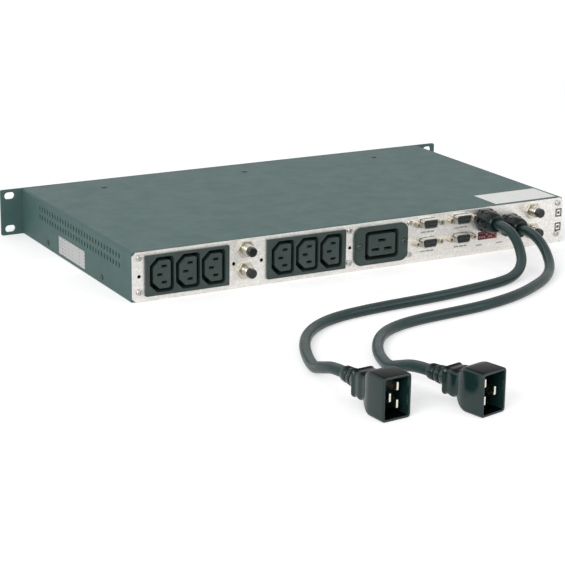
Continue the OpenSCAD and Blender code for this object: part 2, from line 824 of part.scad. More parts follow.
// domed nut that grips the cord: six flats at its foot, then a smooth taper to the cord
module gland_dome() {
    foot = gland_hex_t;
    difference() {
        union() {
            along_y(foot, foot + 6) hexagon(gland_af - 1.2);
            translate([0, foot, 0]) rotate([-90, 0, 0]) rotate_extrude() polygon(concat(
                [[0, 0], [gland_af / 2, 0], [gland_af / 2, 6]],
                [for (a = [15:15:75]) [
                    gland_tip_r + (gland_af / 2 - gland_tip_r) * cos(a),
                    6 + (gland_out - foot - 6) * sin(a)
                ]],
                [[gland_tip_r, gland_out - foot], [0, gland_out - foot]]
            ));
        }
        rod_y(0, 0, gland_neck_r + run_gap, foot - cut, foot + gland_neck_l + 0.2);
        rod_y(0, 0, cord_bore_r, foot, gland_out + cut);
    }
}

module gland_body_1() { color("#202425") place_gland(0) gland_body(); }
module gland_body_2() { color("#202425") place_gland(1) gland_body(); }
module gland_dome_1() { color("#202425") place_gland(0) gland_dome(); }
module gland_dome_2() { color("#202425") place_gland(1) gland_dome(); }

// round locknuts with six notches, behind the panel
module gland_locknuts() {
    color("#202425")
        for (i = [0, 1]) place_gland(i) along_y(-rear_t - locknut_t, -rear_t) difference() {
            circle(locknut_r);
            circle(gland_thread_r + run_gap);
            for (a = [0:60:300]) rotate(a) translate([locknut_r, 0]) square([1.2, 2], center = true);
        }
}

// unit vector
function unit(v) = v / norm(v);

// direction of a route at its point i
function heading(route, i) =
    unit(route[min(i + 1, len(route) - 1)] - route[max(i - 1, 0)]);

// one ring of points square to the route at its point i
function ring(route, i, r, sides) =
    let (
        d = heading(route, i),
        side = unit(cross(d, [0, 0, 1])),
        up = cross(side, d)
    )
    [for (k = [0:sides - 1]) route[i] + r * (cos((k + 0.5) * 360 / sides) * side
        + sin((k + 0.5) * 360 / sides) * up)];

// closed tube along a route
module tube(route, r, sides) {
    n = len(route);
    points = [for (i = [0:n - 1]) each ring(route, i, r, sides)];
    sides_faces = [
        for (i = [0:n - 2], k = [0:sides - 1])
            let (a = i * sides + k, b = i * sides + (k + 1) % sides)
            each [[a, a + sides, b + sides], [a, b + sides, b]]
    ];
    start_face = [for (k = [0:sides - 1]) k];
    end_face = [for (k = [sides - 1:-1:0]) (n - 1) * sides + k];
    polyhedron(points, concat(sides_faces, [start_face, end_face]), convexity = 6);
}

module cord_1() { color("#2a2f31") tube(route_1, cord_d / 2, 12); }
module cord_2() { color("#2a2f31") tube(route_2, cord_d / 2, 12); }

module place_plug(i) {
    at = i == 0 ? plug_1_at : plug_2_at;
    translate([at[0], at[1], plug_z]) rotate([0, 0, i == 0 ? plug_1_turn : plug_2_turn]) children();
}

// half the plug's width or height at distance s behind its face
function plug_half(s, face, grip) =
    s <= plug_depth ? face / 2 - 0.4 * s / plug_depth
    : s >= plug_depth + plug_taper ? grip / 2
    : grip / 2 + (face / 2 - 0.4 - grip / 2) * (1 + cos(180 * (s - plug_depth) / plug_taper)) / 2;

// outline of the plug seen from the side or from above: narrows smoothly to the cord grip
module plug_profile(face, grip) {
    stations = concat(
        [0, plug_depth],
        [for (k = [1:5]) plug_depth + k * plug_taper / 6],
        [plug_depth + plug_taper, plug_depth + plug_taper + grip_l]
    );
    last = len(stations) - 1;
    polygon(concat(
        [for (s = stations) [-s, plug_half(s, face, grip)]],
        [for (k = [last:-1:0]) [-stations[k], -plug_half(stations[k], face, grip)]]
    ));
}

// moulded body: shroud, taper, cord grip with a step, and two ribs; face at y = 0
module plug_body() {
    grip_end = plug_depth + plug_taper + grip_l;
    difference() {
        union() {
            intersection() {
                along_x(-plug_w, plug_w) plug_profile(plug_h, grip_h);
                rotate([0, 0, 90]) translate([0, 0, -plug_h])
                    linear_extrude(2 * plug_h) plug_profile(plug_w, grip_w);
                along_y(-grip_end - cut, cut) round_rect(plug_w, plug_h, 3);
            }
            along_y(-grip_end, 4 - grip_end) round_rect(grip_w + 1.2, grip_h + 1.2, 4);
            rod_y(0, 0, rib_r - 1.4, -plug_l, -grip_end);
            for (k = [0, 1])
                rod_y(0, 0, rib_r - 0.7 * k, -grip_end - 4 - 4 * k, -grip_end - 1.4 - 4 * k);
        }
        along_y(-cavity_depth, cut)
            round_rect(plug_w - 2 * plug_wall, plug_h - 2 * plug_wall, 1.5);
        for (p = blade_places()) translate([p[0], 0, p[1]])
            along_y(-cavity_depth - 3, cut - cavity_depth) square([blade_t, blade_w], center = true);
    }
}

// earth on one side, line and neutral on the other
function blade_places() = [[blade_dx, 0], [-blade_dx, blade_dz], [-blade_dx, -blade_dz]];

module plug_blades() {
    for (p = blade_places()) translate([p[0], 0, p[1]]) {
        along_y(-cavity_depth - 3, -blade_recess - 1) square([blade_t, blade_w], center = true);
        along_y(-blade_recess - 1, -blade_recess) square([blade_t - 0.8, blade_w - 1.2], center = true);
    }
}

module plug_body_1() { color("#24292a") place_plug(0) plug_body(); }
module plug_body_2() { color("#24292a") place_plug(1) rotate([0, 180, 0]) plug_body(); }
module plug_blades_1() { color("#cfc9a9") place_plug(0) plug_blades(); }
module plug_blades_2() { color("#cfc9a9") place_plug(1) rotate([0, 180, 0]) plug_blades(); }

// ---------- inside ----------

module main_board() {
    color("#2f5d3a") translate([board_x, board_y, board_z]) difference() {
        translate([-board_w / 2, -board_d / 2, 0]) cube([board_w, board_d, board_t]);
        for (sx = [-1, 0, 1], sy = [-1, 1])
            translate([sx * board_hole_dx, sy * board_hole_dy, -cut])
                cylinder(h = board_t + 2 * cut, r = screw_hole_r);
    }
}

// relays in two rows on the main board
module relays() {
    color("#23282c")
        for (i = [0:3], j = [0, 1])
            translate([board_x - 70 + 40 * i, board_y + (j == 0 ? -30 : 25), board_z + board_t])
                along_y(-relay_d / 2, relay_d / 2) round_top(relay_w, relay_h, 1);
}

// extruded heat sink: a plain land in its middle for the module, fins on both sides
module heat_sink(x) {
    pitch = (sink_w / 2 - sink_land / 2 - fin_t) / (fin_count - 1);
    translate([x, sink_y, sheet]) along_y(-sink_l / 2, sink_l / 2) {
        translate([-sink_w / 2, 0]) square([sink_w, sink_base]);
        for (s = [-1, 1], k = [0:fin_count - 1])
            translate([s * (sink_land / 2 + fin_t / 2 + k * pitch) - fin_t / 2, 0]) square([fin_t, sink_base + fin_h]);
    }
}

module heat_sink_1() { color("#a4a7a8") heat_sink(sink_xs[0]); }
module heat_sink_2() { color("#a4a7a8") heat_sink(sink_xs[1]); }

// thyristor module: body with two stepped ends and three terminal screws on top
module power_module(x) {
    translate([x, sink_y, sheet + sink_base]) {
        along_x(-module_w / 2, module_w / 2) polygon([
            [-module_l / 2, 0], [module_l / 2, 0], [module_l / 2, 7], [module_l / 2 - 8, 7],
            [module_l / 2 - 8, module_h], [8 - module_l / 2, module_h], [8 - module_l / 2, 7], [-module_l / 2, 7]
        ]);
        for (k = [-1, 0, 1]) translate([0, k * 14, module_h]) cylinder(h = 3, r = 4, $fn = 6);
    }
}

module power_module_1() { color("#d8d4c8") power_module(sink_xs[0]); }
module power_module_2() { color("#d8d4c8") power_module(sink_xs[1]); }

module control_board() {
    color("#2f5d3a") {
        along_y(control_y, control_y + board_t)
            translate([control_x, control_z]) square([control_w, control_h], center = true);
        // push switches behind the two buttons
        for (x = button_xs)
            along_y(switch_front(), control_y) translate([x, control_z]) square([6, 6], center = true);
    }
}

// front of a push switch: a button's collar stops against it
function switch_front() = front_in + collar_t + front_button_travel + 0.1;

module front_button(x) {
    rod_y(x, control_z, front_button_r, front_y - front_button_out, front_in);
    rod_y(x, control_z, collar_r, front_in, front_in + collar_t);
}

module front_button_1() { color("#2b3032") front_button(button_xs[0]); }
module front_button_2() { color("#2b3032") front_button(button_xs[1]); }

module indicator_lamps() {
    color("#7fbf7a")
        for (x = lamp_xs) {
            rod_y(x, control_z, lamp_r, front_y - 0.6, control_y);
            rod_y(x, control_z, lamp_r + 0.8, front_in, front_in + 1);
        }
}

// ---------- what is drawn ----------

bottom_tray();
top_cover();
front_panel();
rear_panel();
outlet_block_1();
outlet_block_2();
outlet_contacts();
high_current_outlet();
high_current_contacts();
outlet_screws();
panel_screws();
cover_screws();
breaker_body_1();
breaker_body_2();
breaker_body_3();
breaker_body_4();
breaker_nuts();
reset_button_1();
reset_button_2();
reset_button_3();
reset_button_4();
port_shell_1();
port_shell_2();
port_shell_3();
port_shell_4();
port_insert_1();
port_insert_2();
port_insert_3();
port_insert_4();
port_jackscrews();
selector_block();
slider_1();
slider_2();
slider_3();
slider_4();
slider_5();
slider_6();
slider_7();
slider_8();
gland_body_1();
gland_body_2();
gland_dome_1();
gland_dome_2();
gland_locknuts();
cord_1();
cord_2();
plug_body_1();
plug_body_2();
plug_blades_1();
plug_blades_2();
main_board();
relays();
heat_sink_1();
heat_sink_2();
power_module_1();
power_module_2();
control_board();
front_button_1();
front_button_2();
indicator_lamps();
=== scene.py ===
"""Looks of the rack static transfer switch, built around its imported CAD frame.

Lengths are in metres, or in millimetres where they are multiplied by MM. +Z is up and the rear panel
looks along +Y.
"""

import math
from itertools import product

import bmesh
import bpy
from mathutils import Matrix, Vector


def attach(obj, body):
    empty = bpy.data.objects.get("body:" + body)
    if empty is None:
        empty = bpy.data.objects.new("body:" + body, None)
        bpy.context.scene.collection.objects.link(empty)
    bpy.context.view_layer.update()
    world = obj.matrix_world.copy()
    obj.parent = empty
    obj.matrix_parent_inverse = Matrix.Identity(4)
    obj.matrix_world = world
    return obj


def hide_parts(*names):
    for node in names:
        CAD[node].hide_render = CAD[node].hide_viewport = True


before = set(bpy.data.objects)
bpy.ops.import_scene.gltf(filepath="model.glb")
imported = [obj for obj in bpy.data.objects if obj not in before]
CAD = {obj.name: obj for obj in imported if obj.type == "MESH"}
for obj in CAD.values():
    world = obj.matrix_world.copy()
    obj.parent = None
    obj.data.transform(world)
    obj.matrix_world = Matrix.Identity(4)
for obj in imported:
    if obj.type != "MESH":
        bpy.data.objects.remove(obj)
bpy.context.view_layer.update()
MM = 0.001
ROOT = "casing"
scene = bpy.context.scene
scene.view_settings.view_transform = "Standard"


# ---------------------------------------------------------------- camera
CAMERA_AT = (0.8053, 1.4425, 0.4469)
CAMERA_TURN = (28.92, 16.57, 0.71)  # azimuth, elevation and roll, in degrees
CAMERA_LENS = 115.5  # focal length and sensor width, in mm
CAMERA_SENSOR = 36.0


def make_camera():
    """Camera at the photograph's viewing angle: above the rear panel and on its +X side."""
    az, el, roll = (math.radians(a) for a in CAMERA_TURN)
    ahead = Vector((-math.sin(az) * math.cos(el), -math.cos(az) * math.cos(el), -math.sin(el)))
    right = ahead.cross(Vector((0, 0, 1))).normalized()
    up = right.cross(ahead)
    r = right * math.cos(roll) + up * math.sin(roll)
    u = up * math.cos(roll) - right * math.sin(roll)
    data = bpy.data.cameras.new("camera")
    data.lens, data.sensor_width = CAMERA_LENS, CAMERA_SENSOR
    data.clip_start, data.clip_end = 0.05, 50
    cam = bpy.data.objects.new("camera", data)
    m = Matrix((r, u, -ahead)).transposed().to_4x4()
    m.translation = Vector(CAMERA_AT)
    cam.matrix_world = m
    scene.collection.objects.link(cam)
    scene.camera = cam


make_camera()


# ---------------------------------------------------------------- material tools
class Shader:
    """A Principled material, and short names for the nodes it is made of.

    Coordinates are the row frame's, in metres. edge is the radius that sharp edges seem to have.
    """

    def __init__(self, name, rough=0.5, metal=0.0, specular=0.5, edge=0.0):
        self.mat = bpy.data.materials.new(name)
        self.mat.use_nodes = True
        self.tree = self.mat.node_tree
        self.bsdf = self.tree.nodes["Principled BSDF"]
        self.bsdf.inputs["Roughness"].default_value = rough
        self.bsdf.inputs["Metallic"].default_value = metal
        self.bsdf.inputs["Specular IOR Level"].default_value = specular
        self.coord = self.tree.nodes.new("ShaderNodeTexCoord").outputs["Object"]
        self.normal = None
        if edge:
            n = self.node("ShaderNodeBevel", Radius=edge)
            n.samples = 4
            self.normal = n.outputs["Normal"]

    def node(self, kind, **sockets):
        """A new node, with values for its sockets. An underscore stands for a space."""
        n = self.tree.nodes.new(kind)
        for k, v in sockets.items():
            n.inputs[k.replace("_", " ")].default_value = v
        return n

    def link(self, a, b):
        self.tree.links.new(a, b)

    def stretch(self, scale):
        """The coordinates with each axis scaled, so that a texture streaks along an axis."""
        n = self.node("ShaderNodeMapping")
        n.inputs["Scale"].default_value = scale
        self.link(self.coord, n.inputs["Vector"])
        return n.outputs["Vector"]

    def noise(self, scale, detail=3.0, rough=0.55, vector=None):
        """Cloudy noise, mostly between 0.3 and 0.7."""
        n = self.node("ShaderNodeTexNoise", Scale=scale, Detail=detail, Roughness=rough)
        self.link(vector or self.coord, n.inputs["Vector"])
        return n.outputs["Fac"]

    def voronoi(self, scale, vector=None):
        """Distance from the middles of scattered cells."""
        n = self.node("ShaderNodeTexVoronoi", Scale=scale)
        self.link(vector or self.coord, n.inputs["Vector"])
        return n.outputs["Distance"]

    def span(self, value, lo, hi, to_lo=0.0, to_hi=1.0):
        """Maps value from lo..hi to to_lo..to_hi, clamped."""
        n = self.tree.nodes.new("ShaderNodeMapRange")
        for k, v in zip(("From Min", "From Max", "To Min", "To Max"), (lo, hi, to_lo, to_hi)):
            n.inputs[k].default_value = v
        self.link(value, n.inputs["Value"])
        return n.outputs["Result"]

    def math(self, op, a, b=0.0):
        """One sum of two numbers or sockets."""
        n = self.tree.nodes.new("ShaderNodeMath")
        n.operation = op
        for s, v in zip(n.inputs, (a, b)):
            if isinstance(v, (int, float)):
                s.default_value = v
            else:
                self.link(v, s)
        return n.outputs[0]

    def mix(self, fac, a, b):
        """Mixes two colours, each a tuple or a socket."""
        n = self.tree.nodes.new("ShaderNodeMix")
        n.data_type = "RGBA"
        if isinstance(fac, (int, float)):
            n.inputs["Factor"].default_value = fac
        else:
            self.link(fac, n.inputs["Factor"])
        for s, v in ((n.inputs[6], a), (n.inputs[7], b)):
            if isinstance(v, tuple):
                s.default_value = (*v, 1)
            else:
                self.link(v, s)
        return n.outputs[2]

    def bump(self, height, distance, strength=1.0):
        """Adds a bump on top of those made before it. distance is in metres."""
        n = self.node("ShaderNodeBump", Strength=strength, Distance=distance)
        self.link(height, n.inputs["Height"])
        if self.normal is not None:
            self.link(self.normal, n.inputs["Normal"])
        self.normal = n.outputs["Normal"]

    def axis(self, k):
        """One coordinate: 0, 1 or 2 for x, y or z."""
        n = self.tree.nodes.new("ShaderNodeSeparateXYZ")
        self.link(self.coord, n.inputs[0])
        return n.outputs[k]

    def facing_up(self):
        """The upward part of the surface's own direction."""
        n = self.tree.nodes.new("ShaderNodeSeparateXYZ")
        self.link(self.tree.nodes.new("ShaderNodeNewGeometry").outputs["Normal"], n.inputs[0])
        return n.outputs[2]

    def done(self, colour, rough=None):
        """Joins colour, roughness and bumps to the surface, and gives the material."""
        if isinstance(colour, tuple):
            self.bsdf.inputs["Base Color"].default_value = (*colour, 1)
        else:
            self.link(colour, self.bsdf.inputs["Base Color"])
        if rough is not None:
            self.link(rough, self.bsdf.inputs["Roughness"])
        if self.normal is not None:
            self.link(self.normal, self.bsdf.inputs["Normal"])
        return self.mat


def shade(k, c):
    """Colour c made k times as bright."""
    return tuple(min(1.0, k * x) for x in c)


def paint(name, base):
    """Satin powder coat: fine orange peel, a faint cloudiness and a few lighter specks."""
    s = Shader(name, rough=0.5, specular=0.22, edge=0.0004)
    grain = s.noise(2600, 2)
    colour = s.mix(s.span(s.noise(14, 4), 0.35, 0.65), shade(0.99, base), shade(1.01, base))
    colour = s.mix(s.span(grain, 0.60, 0.78, 0, 0.22), colour, shade(1.35, base))
    s.bump(s.noise(1500, 2), 0.00003)
    s.bump(grain, 0.000015)
    return s.done(colour, s.span(s.noise(60, 4), 0.3, 0.7, 0.46, 0.56))


def plated(name, base, rough=(0.25, 0.4), scale=None, specks=0.0, edge=0.0003):
    """Bare or plated metal. scale stretches the grain along an axis; specks is how strong the dots are."""
    s = Shader(name, metal=1.0, edge=edge)
    lines = s.noise(1.0 if scale else 1400, 5, 0.6, s.stretch(scale) if scale else None)
    colour = s.mix(s.span(lines, 0.3, 0.7), shade(0.86, base), shade(1.08, base))
    colour = s.mix(s.span(s.noise(25, 4), 0.4, 0.75, 0, 0.35), colour, shade(0.88, base))
    if specks:
        colour = s.mix(s.span(s.noise(900, 2), 0.52, 0.74, 0, specks), colour, shade(0.45, base))
        colour = s.mix(s.span(s.voronoi(520), 0.5, 0.9, 0, specks), colour, shade(1.45, base))
    s.bump(lines, 0.00001)
    return s.done(colour, s.span(lines, 0.3, 0.7, *rough))


def moulded(name, base, rough=(0.4, 0.55), grain=1800, bump=0.00002, specular=0.4, edge=0.0004, top=1.0):
    """Moulded plastic or rubber with a fine spark-eroded grain. top is painted shade: it dims the colour
    and the specular of the faces that look up.
    """
    s = Shader(name, specular=specular, edge=edge)
    colour = s.mix(s.span(s.noise(40, 3), 0.35, 0.65), shade(0.85, base), shade(1.12, base))
    if top < 1:
        # painted shade: faces that look up are made darker, colour and specular both, down to top times
        # their own
        up = s.span(s.facing_up(), 0.55, 0.9, 1.0, top)
        colour = s.mix(up, (0.0, 0.0, 0.0), colour)
        s.link(s.math("MULTIPLY", up, specular), s.bsdf.inputs["Specular IOR Level"])
    s.bump(s.noise(grain, 2), bump)
    return s.done(colour, s.span(s.noise(150, 4), 0.3, 0.7, *rough))


def lit_window(name, dark, bright):
    """The selector's clear window: a painted highlight makes it bright where its lens catches the light,
    and it is darker towards +X.
    """
    s = Shader(name, specular=0.6, edge=0.0003)
    box = [Vector(c) for c in CAD["selector_block"].bound_box]
    lo, hi = min(c.x for c in box), max(c.x for c in box)
    # painted highlight: bright red laid over the window, strongest at -X and gone three quarters of the way
    # towards +X
    fade = s.span(s.axis(0), lo, lo + 0.75 * (hi - lo))
    painted_highlight = s.math("MULTIPLY", s.span(s.noise(220, 3), 0.35, 0.65, 0.6, 1.0), s.math("SUBTRACT", 1.0, fade))
    return s.done(s.mix(painted_highlight, dark, bright), s.span(s.noise(90, 2), 0.3, 0.7, 0.12, 0.25))


def paper(name, base, row_axis, along_axis, pitch, ink):
    """A bare label: rows of faint broken dashes stand for print, with no letters."""
    s = Shader(name, rough=0.6, specular=0.2)
    row = s.span(s.math("FRACT", s.math("MULTIPLY", s.axis(row_axis), 1 / pitch)), 0.28, 0.32)
    scale = [20.0, 20.0, 20.0]
    scale[along_axis] = 420.0
    dashes = s.span(s.noise(1.0, 1, 0.5, s.stretch(scale)), 0.49, 0.53)
    print_mask = s.math("MULTIPLY", s.math("SUBTRACT", 1.0, row), s.math("MULTIPLY", dashes, ink))
    s.bump(s.noise(900, 3), 0.000008)
    return s.done(s.mix(print_mask, base, shade(0.3, base)), s.span(s.noise(80, 3), 0.3, 0.7, 0.5, 0.65))


COVER = (0.068, 0.132, 0.124)
M = {
    "cover": paint("cover_paint", COVER),
    "tray": paint("tray_paint", shade(0.95, COVER)),
    "panel": plated("rear_panel_metal", (0.80, 0.775, 0.735), (0.34, 0.5), (60, 700, 700), 0.38),
    "outlet": moulded("outlet_plastic", (0.040, 0.064, 0.058), (0.36, 0.48), specular=0.35, edge=0.0006),
    "contacts": plated("contact_brass", (0.10, 0.085, 0.05), (0.3, 0.45)),
    "screw": plated("screw_plating", (0.50, 0.50, 0.48), (0.18, 0.32), None, 0.2),
    "dark_screw": plated("dark_screw_plating", (0.10, 0.11, 0.105), (0.25, 0.4)),
    "nut": plated("nut_plating", (0.56, 0.54, 0.46), (0.16, 0.3), None, 0.15),
    "button": moulded("button_plastic", (0.007, 0.009, 0.009), (0.16, 0.26), specular=0.5),
    "port": plated("port_tin", (0.50, 0.50, 0.45), (0.2, 0.34), None, 0.3),
    "jack": plated("jack_screw_plating", (0.50, 0.47, 0.37), (0.2, 0.34), None, 0.15),
    "insert": moulded("insert_plastic", (0.022, 0.03, 0.027)),
    "red": lit_window("selector_red_painted_highlight", (0.11, 0.008, 0.016), (0.62, 0.010, 0.030)),
    "slider": moulded("slider_plastic", (0.50, 0.30, 0.29), (0.35, 0.45)),
    # gland_nylon and plug_moulding: their top value paints shade on their upward faces
    "nylon": moulded("gland_nylon", (0.003, 0.010, 0.010), (0.16, 0.26), specular=0.28, top=0.5),
    "cord": moulded("cord_jacket", (0.006, 0.031, 0.029), (0.30, 0.42), 700, 0.00005, 0.34, 0.0),
    "plug": moulded("plug_moulding", (0.008, 0.029, 0.027), (0.10, 0.2), 1500, 0.000008, 0.42, 0.0, 0.12),
    "blade": plated("blade_plating", (0.80, 0.78, 0.66), (0.12, 0.24), (900, 60, 900)),
    "board": moulded("board_lacquer", (0.03, 0.13, 0.06), (0.25, 0.4)),
    "relay": moulded("relay_case", (0.03, 0.033, 0.036), (0.2, 0.3)),
    "sink": plated("heat_sink_alloy", (0.72, 0.73, 0.74), (0.3, 0.45), (900, 40, 900)),
    "module": moulded("module_case", (0.62, 0.60, 0.54)),
    "lamp": moulded("lamp_lens", (0.10, 0.45, 0.14), (0.1, 0.16)),
    "top_label": paper("top_label_paper", (0.96, 0.97, 0.94), 1, 0, 0.0042, 0.15),
    "side_label": paper("side_label_paper", (0.60, 0.61, 0.60), 2, 1, 0.0030, 0.6),
    "ink": moulded("panel_print", (0.05, 0.055, 0.055), (0.5, 0.6), edge=0.0),
    "pale_ink": moulded("panel_pale_print", (0.36, 0.36, 0.35), (0.5, 0.6), edge=0.0),
}
LOOKS = {
    "bottom_tray": "tray", "top_cover": "cover", "front_panel": "cover", "rear_panel": "panel",
    "outlet_block_1": "outlet", "outlet_block_2": "outlet", "outlet_contacts": "contacts",
    "high_current_outlet": "outlet", "high_current_contacts": "contacts", "outlet_screws": "dark_screw",
    "panel_screws": "screw", "cover_screws": "dark_screw", "breaker_nuts": "nut", "port_jackscrews": "jack",
    "selector_block": "red", "gland_locknuts": "nylon", "cord_1": "cord", "cord_2": "cord",
    "main_board": "board", "relays": "relay", "control_board": "board", "indicator_lamps": "lamp",
    **{f"breaker_body_{i}": "nut" for i in range(1, 5)},
    **{f"reset_button_{i}": "button" for i in range(1, 5)},
    **{f"port_shell_{i}": "port" for i in range(1, 5)},
    **{f"port_insert_{i}": "insert" for i in range(1, 5)},
    **{f"slider_{i}": "slider" for i in range(1, 9)},
    **{f"{n}_{i}": look for i in (1, 2) for n, look in (
        ("gland_body", "nylon"), ("gland_dome", "nylon"), ("plug_body", "plug"), ("plug_blades", "blade"),
        ("heat_sink", "sink"), ("power_module", "module"), ("front_button", "button"))},
}
for name, look in LOOKS.items():
    o = CAD[name]
    o.data.materials.clear()
    o.data.materials.append(M[look])


# ---------------------------------------------------------------- mesh tools
SHARP_ANGLE = 38.0


def add_mesh(name, verts, faces, look, body=ROOT, smooth=True, slot=None):
    """Makes a piece from points and faces in metres, and lets it ride on a body."""
    me = bpy.data.meshes.new(name)
    me.from_pydata([tuple(v) for v in verts], [], faces)
    bm = bmesh.new()
    bm.from_mesh(me)
    bmesh.ops.recalc_face_normals(bm, faces=bm.faces)
    bm.to_mesh(me)
    bm.free()
    me.materials.append(M[look])
    if smooth:
        me.polygons.foreach_set("use_smooth", [True] * len(me.polygons))
        me.set_sharp_from_angle(angle=math.radians(SHARP_ANGLE))
    o = bpy.data.objects.new(name, me)
    scene.collection.objects.link(o)
    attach(o, body)
    return o


def loft(rings):
    """Vertices and faces of a closed skin over rings that have the same number of points."""
    n = len(rings[0])
    faces = [
        (i * n + k, i * n + (k + 1) % n, (i + 1) * n + (k + 1) % n, (i + 1) * n + k)
        for i in range(len(rings) - 1) for k in range(n)
    ]
    faces += [tuple(range(n))[::-1], tuple((len(rings) - 1) * n + k for k in range(n))]
    return [p for r in rings for p in r], faces


def smooth_route(points, per=6):
    """Catmull-Rom curve through the points, with per steps from each to the next."""
    p = [Vector(q) for q in points]
    p = [2 * p[0] - p[1], *p, 2 * p[-1] - p[-2]]
    out = []
    for i in range(1, len(p) - 2):
        a, b, c, d = p[i - 1 : i + 3]
        for k in range(per):
            t = k / per
            line = (c - a) * t
            square = (2 * a - 5 * b + 4 * c - d) * t * t
            cube = (3 * b - a - 3 * c + d) * t ** 3
            out.append(0.5 * (2 * b + line + square + cube))
    return out + [p[-2]]


def tube(points, radius, sides=28):
    """Vertices and faces of a closed round tube along points."""
    turns = [2 * math.pi * k / sides for k in range(sides)]
    last = len(points) - 1
    rings = []
    side = None
    for i, p in enumerate(points):
        d = (points[min(i + 1, last)] - points[max(i - 1, 0)]).normalized()
        side = (d.cross(Vector((0, 0, 1))) if side is None else side - side.dot(d) * d).normalized()
        up = side.cross(d)
        rings.append([p + radius * (math.cos(a) * side + math.sin(a) * up) for a in turns])
    return loft(rings)


# ---------------------------------------------------------------- cords
ROUTE_1 = [
    (-131, 129, 32.3), (-131, 148, 32.3), (-131, 158, 32.2), (-130.5, 170, 30), (-129, 181, 25),
    (-126, 191, 18.5), (-120.5, 201, 12.5), (-111, 210, 7.8), (-98, 217.5, 5.3), (-82, 223, 4.6),
    (-62, 227.5, 4.6), (-41, 231, 4.6), (-20, 234, 4.6), (2, 236, 4.6), (24, 237.5, 4.6),
    (46, 239, 4.6), (68, 241.5, 4.6), (89, 245.5, 4.6), (108, 252.5, 4.6), (125, 263.5, 4.6),
    (139.5, 278, 4.6), (151, 295, 4.6), (160, 313, 4.6), (167, 331, 4.6), (172, 347, 6),
    (174.8, 362, 10.5), (175.4, 376, 14.8), (174.9, 386, 16.2), (174.1, 394.7, 16.4),
]
ROUTE_2 = [
    (-158.5, 129, 24.5), (-158.5, 148, 24.5), (-158.5, 160, 24.3), (-158, 172, 22), (-156, 185, 17),
    (-151.5, 198, 11.5), (-144, 211, 7.2), (-133, 223, 5), (-119, 235, 4.6), (-102, 246, 4.6),
    (-84, 256, 4.6), (-65, 264, 4.6), (-45, 270, 4.6), (-24, 274.5, 4.6), (-3, 277, 4.6),
    (18, 279, 4.6), (38, 281.5, 4.6), (57, 286, 4.6), (74, 293.5, 4.6), (88, 304.5, 4.6),
    (100, 319, 4.6), (110, 336, 4.6), (117, 354, 4.6), (121.5, 371, 6), (122.8, 385, 10.5),
    (121.3, 398, 14.8), (119, 408.5, 16.2), (116.7, 417.9, 16.4),
]
CORD_D = 0.009

# plugs, in mm: half sizes of the shroud, and distances behind its face
PLUGS = {1: ((168.8, 455.5, 16.4), 5, 0), 2: ((103, 477.3, 16.4), 13, 180)}  # place, turn, roll
SHROUD_HALF_W = 12.2
SHROUD_HALF_H = 16.4
SHROUD_WALL = 2.0
SHROUD_R = 2.6
CAVITY_DEPTH = 17.5
CAVITY_R = 1.3
SHOULDER_FROM = 16
SHOULDER_TO = 27
SHOULDER_ROUND = 11.5  # length of the ellipse that rounds the shoulder off, seen from the side
SHOULDER_STEPS = 13
GRIP_HALF_W = 9.2
GRIP_HALF_H = 7.4
GRIP_R = 3.6
NECK = [  # distance behind the face, radius
    (61, 5.0), (60.7, 5.6), (59.6, 6.05), (55.0, 6.25), (54.6, 6.0), (54.3, 5.3), (52.6, 5.3),
    (52.3, 6.3), (51.9, 6.65), (49.4, 6.85), (49.0, 6.6), (48.7, 5.8), (47.4, 5.8), (47.1, 6.7),
    (46.7, 7.0), (42.0, 7.3),
]
GRIP = [  # distance behind the face, half width, half height
    (41.0, 8.2, 8.7), (40.9, 9.5, 10.0), (40.4, 9.9, 10.4), (39.4, 9.9, 10.4), (38.9, 9.6, 10.1),
    (37.8, 9.1, 9.9), (36.2, 9.05, 9.9), (34.5, 9.4, 10.2), (32.5, 9.75, 10.4), (30.8, 9.6, 10.2),
    (29.4, 9.2, 9.6), (28.0, 9.15, 9.6), (27.3, 9.2, 9.9),
]
OUTER_RIM = [(0.9, 0.0), (0.5, 0.1), (0.2, 0.3), (0.0, 0.7)]  # distance behind the face, inset
INNER_RIM = [(0.0, -0.3), (0.08, -0.12), (0.35, 0.0), (CAVITY_DEPTH, 0.0)]
BLADE_RECESS = 4.8  # how far behind the face a blade ends
EARTH_LEAD = 2  # how much nearer the face the earth blade ends
BLADES = [(4, 0, EARTH_LEAD), (-4, 6.5, 0), (-4, -6.5, 0)]  # x and z in the face, and lead
BLADE_ROOT = 2  # how far a blade goes into the cavity's floor
BLADE_TIP = [(1.0, 1.0, 3.5), (0.3, 0.85, 3.1), (0.0, 0.6, 2.8)]  # from the tip, half width, half height


def section(s, w, h, r, arc=9):
    """Rectangle with round corners, w and h its half sizes, at s mm behind the plug's face."""
    points = []
    for sx, sz, start in ((1, 1, 0), (-1, 1, 90), (-1, -1, 180), (1, -1, 270)):
        for k in range(arc):
            a = math.radians(start + 90 * k / (arc - 1))
            points.append(Vector((sx * (w - r) + r * math.cos(a), -s, sz * (h - r) + r * math.sin(a))) * MM)
    return points


def shoulder(k):
    """Section k of the shoulder, from the grip to the shroud: round from the side and from above."""
    length = SHOULDER_TO - SHOULDER_FROM
    s = SHOULDER_TO - length * (1 - math.cos(math.pi / 2 * k / SHOULDER_STEPS))
    t = (s - SHOULDER_FROM) / length
    fall = math.sqrt(1 - ((s - SHOULDER_FROM) / SHOULDER_ROUND) ** 2)
    high = GRIP_HALF_H + (SHROUD_HALF_H - GRIP_HALF_H) * fall
    wide = GRIP_HALF_W + (SHROUD_HALF_W - GRIP_HALF_W) * math.cos(math.pi / 2 * t)
    return section(s, wide, high, SHROUD_R + t)


